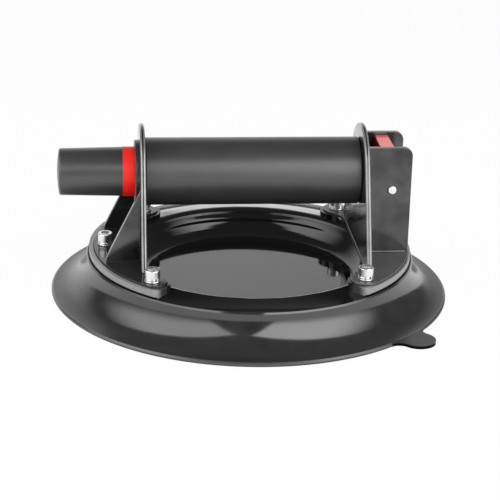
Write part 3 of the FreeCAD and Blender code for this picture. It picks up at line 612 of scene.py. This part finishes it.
finishOfNode = {
    "vacuum_pad": "padRubber", "pull_tab": "tabRubber", "base_plate": "glossBase",
    "threaded_inserts": "turnedBrass", "foot_screws": "brightZinc", "spring_washers": "brightZinc",
    "plain_washers": "brightZinc",
    "valve_end_foot": "satinCoatPaintedLight", "pump_end_foot": "footCoat", "pump_end_plate": "powderCoat",
    "valve_end_plate": "powderCoat", "pump_end_gussets": "powderCoat", "lever_cheeks": "powderCoat",
    "pump_barrel": "drawnAluminium", "grip_sleeve": "gripMatte", "gland_nut": "plungerMatte",
    "guide_bush": "naturalAcetal", "plunger": "plungerMatte", "indicator_ring": "indicatorRed",
    "piston": "naturalAcetal", "piston_seal": "sealRubber", "return_spring": "springSteel",
    "valve_block": "valvePlastic", "block_seal": "sealRubber", "inlet_valve": "sealRubber",
    "stem_guide": "turnedBrass", "valve_stem": "turnedBrass", "stem_seal": "sealRubber",
    "valve_spring": "springSteel", "port_block": "valvePlastic", "vacuum_pipe": "drawnAluminium",
    "pipe_grommet": "sealRubber", "port_filter": "greyFelt", "lever_pin": "brightZinc",
    "release_lever": "leverRed",
}


def paint(mesh, nodeName):
    mesh.materials.clear()
    mesh.materials.append(materials[finishOfNode[nodeName]])


for nodeName in finishOfNode:
    paint(nodes[nodeName].data, nodeName)
print("finishes made:", len(materials))


def addPiece(name, mesh, slot, *standsFor):
    piece = bpy.data.objects.new(name, mesh)
    scene.collection.objects.link(piece)
    bodies = frame["record"]["behaviour"]["bodies"]
    body = next(body for body, members in bodies.items() if standsFor[0] in members)
    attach(piece, body)
    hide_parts(*standsFor)
    return piece


def finalMesh(holder, name):
    # the holder's mesh with its modifiers applied, and the holder gone
    depsgraph = bpy.context.evaluated_depsgraph_get()
    mesh = bpy.data.meshes.new_from_object(holder.evaluated_get(depsgraph))
    bpy.data.objects.remove(holder)
    mesh.name = name
    return mesh


def smoothMesh(shape, name, sharpAngle):
    for face in shape.faces:
        face.smooth = True
    mesh = bpy.data.meshes.new(name)
    shape.to_mesh(mesh)
    shape.free()
    if "custom_normal" in mesh.attributes:
        mesh.attributes.remove(mesh.attributes["custom_normal"])
    mesh.set_sharp_from_angle(angle=math.radians(sharpAngle))
    return mesh


# copies of solids, their doubled points merged and their flat faces joined
copyLook = {"mergeGap": 0.002, "flatAngle": 0.5, "sharpAngle": 45, "footBand": 0.01}


def mergedShape(nodeName):
    shape = bmesh.new()
    shape.from_mesh(nodes[nodeName].data)
    bmesh.ops.remove_doubles(shape, verts=shape.verts, dist=copyLook["mergeGap"] * mm)
    return shape


# the bend between each lever cheek and the foot, a hollow quarter round along the outer face, lightened as a
# painted highlight along the fold
cheekBend = {"radius": 0.65, "steps": 5, "rubAndHighlight": 0.1, "overlap": 0.3}


def addCheekBend(shape, rubAndHighlight):
    low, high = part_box("lever_cheeks")
    radius = cheekBend["radius"] * mm
    steps = cheekBend["steps"]
    ends = (low.x, high.x - 2 * radius)
    for side in (-1, 1):
        face = side * max(abs(low.y), abs(high.y))
        inside = face - side * cheekBend["overlap"] * mm
        outline = []
        for step in range(steps + 1):
            angle = math.radians(90 * step / steps)
            y = face + side * radius * (1 - math.sin(angle))
            z = low.z + radius * (1 - math.cos(angle))
            outline.append((y, z))
        outline += [(inside, outline[-1][1]), (inside, low.z)]
        rows = [[shape.verts.new((x, y, z)) for x in ends] for y, z in outline]
        faces = [shape.faces.new((a[0], a[1], b[1], b[0])) for a, b in zip(rows, rows[1:] + rows[:1])]
        faces.append(shape.faces.new([row[0] for row in rows]))
        faces.append(shape.faces.new([row[1] for row in reversed(rows)]))
        bmesh.ops.recalc_face_normals(shape, faces=faces)
        # painted highlight along the fold, through the edge wear mask
        for row in rows[1:steps]:
            for spot in row:
                spot[rubAndHighlight] = cheekBend["rubAndHighlight"]


# pressed steel and mouldings: a copy of the solid with its edges rounded; the rub value lightens the rounded
# edges, partly as wear, partly as a painted edge highlight
softEdges = {
    "pump_end_plate": {"piece": "pumpPlate", "slot": "bracket_coat",
                       "radius": 1.2, "steps": 6, "angle": 35, "rubAndHighlight": 0.55},
    "valve_end_plate": {"piece": "valvePlate", "slot": "bracket_coat",
                        "radius": 1.2, "steps": 6, "angle": 35, "rubAndHighlight": 0.45},
    "pump_end_gussets": {"piece": "plateGussets", "slot": "bracket_coat",
                         "radius": 0.45, "steps": 3, "angle": 20, "rubAndHighlight": 0.35},
    "lever_cheeks": {"piece": "leverCheeks", "slot": "bracket_coat",
                     "radius": 1.2, "steps": 6, "angle": 35, "rubAndHighlight": 0.06, "onFoot": True},
    "pump_end_foot": {"piece": "pumpFoot", "slot": "bracket_coat", "radius": 0.4, "steps": 3, "angle": 35},
    "valve_end_foot": {"piece": "valveFoot", "slot": "bracket_coat",
                       "radius": 0.4, "steps": 3, "angle": 35, "rubAndHighlight": 0.3},
    "base_plate": {"piece": "bowlBase", "slot": "base_plastic", "radius": 0.35, "steps": 3, "angle": 40},
    "release_lever": {"piece": "thumbLever", "slot": "lever_red", "radius": 0.4, "steps": 3, "angle": 35},
    "lever_pin": {"piece": "pivotPin", "slot": "bright_steel", "radius": 0.8, "steps": 5, "angle": 40},
    "pull_tab": {"piece": "pullTab", "slot": "pad_rubber", "radius": 0.8, "steps": 4, "angle": 35},
    "port_block": {"piece": "portBlock", "slot": "valve_plastic", "radius": 0.3, "steps": 2, "angle": 35},
    "indicator_ring": {"piece": "vacuumRing", "slot": "ring_red", "radius": 0.1, "steps": 2, "angle": 40},
}


def settleNormals(mesh, name):
    # flat faces keep flat shading next to their rounded edges
    holder = bpy.data.objects.new("normalHolder", mesh)
    scene.collection.objects.link(holder)
    weights = holder.modifiers.new("weights", "WEIGHTED_NORMAL")
    weights.keep_sharp = True
    return finalMesh(holder, name)


def softenedCopy(nodeName, look):
    shape = mergedShape(nodeName)
    flat = math.radians(copyLook["flatAngle"])
    bmesh.ops.dissolve_limit(shape, angle_limit=flat, verts=shape.verts, edges=shape.edges)
    limit = math.radians(look["angle"])
    edges = [edge for edge in shape.edges if len(edge.link_faces) == 2]
    edges = [edge for edge in edges if edge.calc_face_angle(0.0) > limit]
    if look.get("onFoot"):  # the edges that stand on the foot stay as they are
        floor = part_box(nodeName)[0].z + copyLook["footBand"] * mm
        edges = [edge for edge in edges if max(spot.co.z for spot in edge.verts) > floor]
    rounded = bmesh.ops.bevel(shape, geom=edges, offset=look["radius"] * mm, offset_type="OFFSET",
                              segments=look["steps"], profile=0.5, affect="EDGES", clamp_overlap=True)
    # marks the rounded faces for the edge wear, which is partly a painted highlight
    rubAndHighlight = shape.verts.layers.float.new("edgeRubAndHighlight")
    roundFaces = {face for face in rounded["faces"] if face.is_valid}
    for face in roundFaces:
        for spot in face.verts:
            if all(beside in roundFaces for beside in spot.link_faces):
                spot[rubAndHighlight] = look.get("rubAndHighlight", 0.0)
    if look.get("onFoot"):
        addCheekBend(shape, rubAndHighlight)
    mesh = settleNormals(smoothMesh(shape, look["piece"], copyLook["sharpAngle"]), look["piece"])
    paint(mesh, nodeName)
    addPiece(look["piece"], mesh, look["slot"], nodeName)


# coil springs: a copy of the solid with its doubled points merged, smooth shaded
coilSprings = {
    "return_spring": {"piece": "returnCoil", "slot": "spring_steel",
                      "joint": "plunger_slide", "fixedEnd": 44.0},
    "valve_spring": {"piece": "valveCoil", "slot": "spring_steel",
                     "joint": "valve_stem_slide", "fixedEnd": 57.2},
}


def squashedCoil(nodeName, look):
    mesh = smoothMesh(mergedShape(nodeName), look["piece"], copyLook["sharpAngle"])
    paint(mesh, nodeName)
    piece = addPiece(look["piece"], mesh, look["slot"], nodeName)
    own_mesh(piece)


for nodeName, look in softEdges.items():
    softenedCopy(nodeName, look)
print("rounded pieces made:", len(softEdges))
for nodeName, look in coilSprings.items():
    squashedCoil(nodeName, look)
print("coil springs made:", len(coilSprings))


def ringSurface(shape, rings, capped=True):
    # rings of points in order along the surface, each ring joined to the next
    rows = [[shape.verts.new(spot) for spot in ring] for ring in rings]
    count = len(rows[0])
    for low, high in zip(rows, rows[1:]):
        for step in range(count):
            following = (step + 1) % count
            shape.faces.new((low[step], low[following], high[following], high[step]))
    if capped:
        shape.faces.new(list(reversed(rows[0])))
        shape.faces.new(rows[-1])


def outwardMesh(shape, name, sharpAngle):
    bmesh.ops.recalc_face_normals(shape, faces=shape.faces)
    return smoothMesh(shape, name, sharpAngle)


# socket screw, drawn from its tip up over the head and down into the socket
screwLook = {
    "shankRadius": 2.5, "shankLength": 18.0, "tipTaper": 0.6, "tipLength": 0.5,
    "threadPitch": 0.8, "threadDepth": 0.35, "threadEnd": 1.0, "neck": 0.3,
    "headRadius": 4.25, "headHeight": 5.0, "seatBevel": (0.45, 0.4), "topRound": 0.6, "topSteps": 4,
    "knurls": 36, "knurlDepth": 0.02,
    "knurlStart": (0.5, 0.7),  # above the seat, smooth and then full
    "knurlEnd": (1.1, 0.9),    # below the top, full and then smooth
    "socketFlats": 4.0, "socketDepth": 2.6,
    "mouth": ((1.32, 0.0), (1.26, 0.04)),  # share of the flats and depth
    "mouthDepth": 0.28,
    "drill": ((0.8, 0.0), (0.1, 0.6)),     # share of the flats and depth below the socket
    "segments": 72, "sharpAngle": 38,
}


def screwMesh():
    look = screwLook
    count = look["segments"]
    turn = 2 * math.pi / count
    flat = look["socketFlats"] / 2
    top = look["headHeight"]
    radius = look["headRadius"]

    def circle(size, z, knurl=0.0):
        spots = []
        for step in range(count):
            wave = 0.5 - 0.5 * math.cos(step * turn * look["knurls"])
            reach = (size - knurl * wave) * mm
            spots.append((reach * math.cos(step * turn), reach * math.sin(step * turn), z * mm))
        return spots

    def hexagon(size, z):
        spots = []
        for step in range(count):
            angle = step * turn
            reach = size / math.cos((angle % (math.pi / 3)) - math.pi / 6) * mm
            spots.append((reach * math.cos(angle), reach * math.sin(angle), z * mm))
        return spots

    shank = look["shankRadius"]
    rings = [circle(shank - look["tipTaper"], -look["shankLength"])]
    z = -look["shankLength"] + look["tipLength"]
    while z < -look["threadEnd"]:
        rings += [circle(shank - look["threadDepth"], z), circle(shank, z + look["threadPitch"] / 2)]
        z += look["threadPitch"]
    bevelIn, bevelUp = look["seatBevel"]
    rings += [circle(shank, -look["neck"]), circle(shank, 0.0)]
    rings += [circle(radius - bevelIn, 0.0), circle(radius, bevelUp)]
    knurl = look["knurlDepth"]
    rings += [circle(radius, look["knurlStart"][0]), circle(radius, look["knurlStart"][1], knurl)]
    rings += [circle(radius, top - look["knurlEnd"][0], knurl), circle(radius, top - look["knurlEnd"][1])]
    edge = look["topRound"]
    for step in range(look["topSteps"] + 1):
        bend = math.radians(90 * step / look["topSteps"])
        rings.append(circle(radius - edge + edge * math.cos(bend), top - edge + edge * math.sin(bend)))
    rings += [circle(flat * share, top - depth) for share, depth in look["mouth"]]
    floor = top - look["socketDepth"]
    rings += [hexagon(flat, top - look["mouthDepth"]), hexagon(flat, floor)]
    rings += [circle(flat * share, floor - depth) for share, depth in look["drill"]]
    shape = bmesh.new()
    ringSurface(shape, rings)
    return outwardMesh(shape, "screwShape", look["sharpAngle"])


def washerSection(look):
    inner, outer, high, edge = look["bore"], look["outer"], look["thickness"], look["edge"]
    return [(inner + edge, 0), (outer - edge, 0), (outer, edge), (outer, high - edge),
            (outer - edge, high), (inner + edge, high), (inner, high - edge), (inner, edge)]


plainWasherLook = {
    "bore": 2.6, "outer": 4.4, "thickness": 1.0, "edge": 0.18,
    "segments": 64, "seamGap": 0.001, "sharpAngle": 50,
}


def plainWasherMesh():
    look = plainWasherLook
    turn = 2 * math.pi / look["segments"]
    rings = []
    for radius, z in washerSection(look) + washerSection(look)[:1]:
        rings.append([(radius * mm * math.cos(step * turn), radius * mm * math.sin(step * turn), z * mm)
                      for step in range(look["segments"])])
    shape = bmesh.new()
    ringSurface(shape, rings, capped=False)
    bmesh.ops.remove_doubles(shape, verts=shape.verts, dist=look["seamGap"] * mm)
    return outwardMesh(shape, "plainWasherShape", look["sharpAngle"])


# spring washer, an open ring cut on the slant
springWasherLook = {
    "bore": 2.6, "outer": 4.3, "thickness": 1.2, "edge": 0.32,
    "split": 1.0, "slant": 0.5, "segments": 56, "sharpAngle": 50,
}


def springWasherMesh():
    look = springWasherLook
    middle = (look["bore"] + look["outer"]) / 2
    gap = look["split"] / middle
    rings = []
    for step in range(look["segments"] + 1):
        share = step / look["segments"]
        ring = []
        for radius, z in washerSection(look):
            lean = look["slant"] * (z / look["thickness"] - 0.5) / middle
            angle = -math.pi / 2 + gap / 2 + lean + share * (2 * math.pi - gap)
            ring.append((radius * mm * math.cos(angle), radius * mm * math.sin(angle), z * mm))
        rings.append(ring)
    shape = bmesh.new()
    ringSurface(shape, rings)
    return outwardMesh(shape, "springWasherShape", look["sharpAngle"])


def socketNamed(sockets, identifier):
    return next(socket for socket in sockets if socket.identifier == identifier)


# sets a fastener round the bolt circle, each with its own turn
def boltCircleTree():
    tree = bpy.data.node_groups.new("boltCircle", "GeometryNodeTree")
    face = tree.interface
    entries = [
        ("Geometry", "Geometry"), ("Circle Radius", "Float"), ("Seat Height", "Float"),
        ("Places Round", "Int"), ("Free Strip", "Float"), ("Turn", "Float"), ("Seed", "Int"),
        ("Finish", "Material"),
    ]
    for name, kind in entries:
        face.new_socket(name, in_out="INPUT", socket_type="NodeSocket" + kind)
    face.new_socket("Geometry", in_out="OUTPUT", socket_type="NodeSocketGeometry")
    entry = addNode(tree, "NodeGroupInput", (-1100, 0))
    circle = addNode(tree, "GeometryNodeMeshCircle", (-860, 200))
    lift = addNode(tree, "ShaderNodeCombineXYZ", (-860, -60))
    move = addNode(tree, "GeometryNodeTransform", (-640, 160))
    place = addNode(tree, "GeometryNodeInputPosition", (-860, -220))
    split = addNode(tree, "ShaderNodeSeparateXYZ", (-680, -220))
    reach = addNode(tree, "ShaderNodeMath", (-500, -220), operation="ABSOLUTE")
    near = addNode(tree, "FunctionNodeCompare", (-320, -160), data_type="FLOAT", operation="LESS_THAN")
    clear = addNode(tree, "GeometryNodeDeleteGeometry", (-400, 160), domain="POINT")
    turn = addNode(tree, "FunctionNodeRandomValue", (-400, -420), data_type="FLOAT")
    spin = addNode(tree, "ShaderNodeCombineXYZ", (-200, -420))
    spread = addNode(tree, "GeometryNodeInstanceOnPoints", (-140, 120))
    realize = addNode(tree, "GeometryNodeRealizeInstances", (80, 120))
    coat = addNode(tree, "GeometryNodeSetMaterial", (280, 120))
    leave = addNode(tree, "NodeGroupOutput", (480, 120))
    join(tree, entry, "Places Round", circle, "Vertices")
    join(tree, entry, "Circle Radius", circle, "Radius")
    join(tree, entry, "Seat Height", lift, "Z")
    join(tree, circle, "Mesh", move, "Geometry")
    join(tree, lift, "Vector", move, "Translation")
    join(tree, place, "Position", split, "Vector")
    join(tree, split, "X", reach, 0)
    join(tree, reach, "Value", near, "A")
    join(tree, entry, "Free Strip", near, "B")
    join(tree, move, "Geometry", clear, "Geometry")
    join(tree, near, "Result", clear, "Selection")
    join(tree, entry, "Seed", turn, "Seed")
    socketNamed(turn.inputs, "Min_001").default_value = 0.0
    tree.links.new(entry.outputs["Turn"], socketNamed(turn.inputs, "Max_001"))
    tree.links.new(socketNamed(turn.outputs, "Value_001"), spin.inputs["Z"])
    join(tree, clear, "Geometry", spread, "Points")
    join(tree, entry, "Geometry", spread, "Instance")
    join(tree, spin, "Vector", spread, "Rotation")
    join(tree, spread, "Instances", realize, "Geometry")
    join(tree, realize, "Geometry", coat, "Geometry")
    join(tree, entry, "Finish", coat, "Material")
    join(tree, coat, "Geometry", leave, "Geometry")
    return tree


boltCircle = boltCircleTree()
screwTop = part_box("foot_screws")[1]
boltPlaces = {"round": 8, "freeStrip": 0.01}  # the two places on the middle line stay free
fastenerSets = [
    {"piece": "socketScrews", "node": "foot_screws", "mesh": screwMesh, "turn": 1.05, "seed": 4,
     "seat": screwTop.z - screwLook["headHeight"] * mm},
    {"piece": "splitWashers", "node": "spring_washers", "mesh": springWasherMesh, "turn": 0.5, "seed": 11,
     "seat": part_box("spring_washers")[0].z},
    {"piece": "flatWashers", "node": "plain_washers", "mesh": plainWasherMesh, "turn": 6.28, "seed": 7,
     "seat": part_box("plain_washers")[0].z},
]


def setFasteners(look):
    holder = bpy.data.objects.new(look["piece"], look["mesh"]())
    scene.collection.objects.link(holder)
    spread = holder.modifiers.new("boltCircle", "NODES")
    spread.node_group = boltCircle
    values = {
        "Circle Radius": screwTop.x - screwLook["headRadius"] * mm, "Seat Height": look["seat"],
        "Places Round": boltPlaces["round"], "Free Strip": boltPlaces["freeStrip"],
        "Turn": look["turn"], "Seed": look["seed"],
        "Finish": materials[finishOfNode[look["node"]]],
    }
    for item in boltCircle.interface.items_tree:
        if item.in_out == "INPUT" and item.name in values:
            spread[item.identifier] = values[item.name]
    mesh = finalMesh(holder, look["piece"])
    addPiece(look["piece"], mesh, "bright_steel", look["node"])
    print(look["piece"], len(mesh.polygons), "faces")


for fasteners in fastenerSets:
    setFasteners(fasteners)

scene.view_settings.view_transform = "Standard"
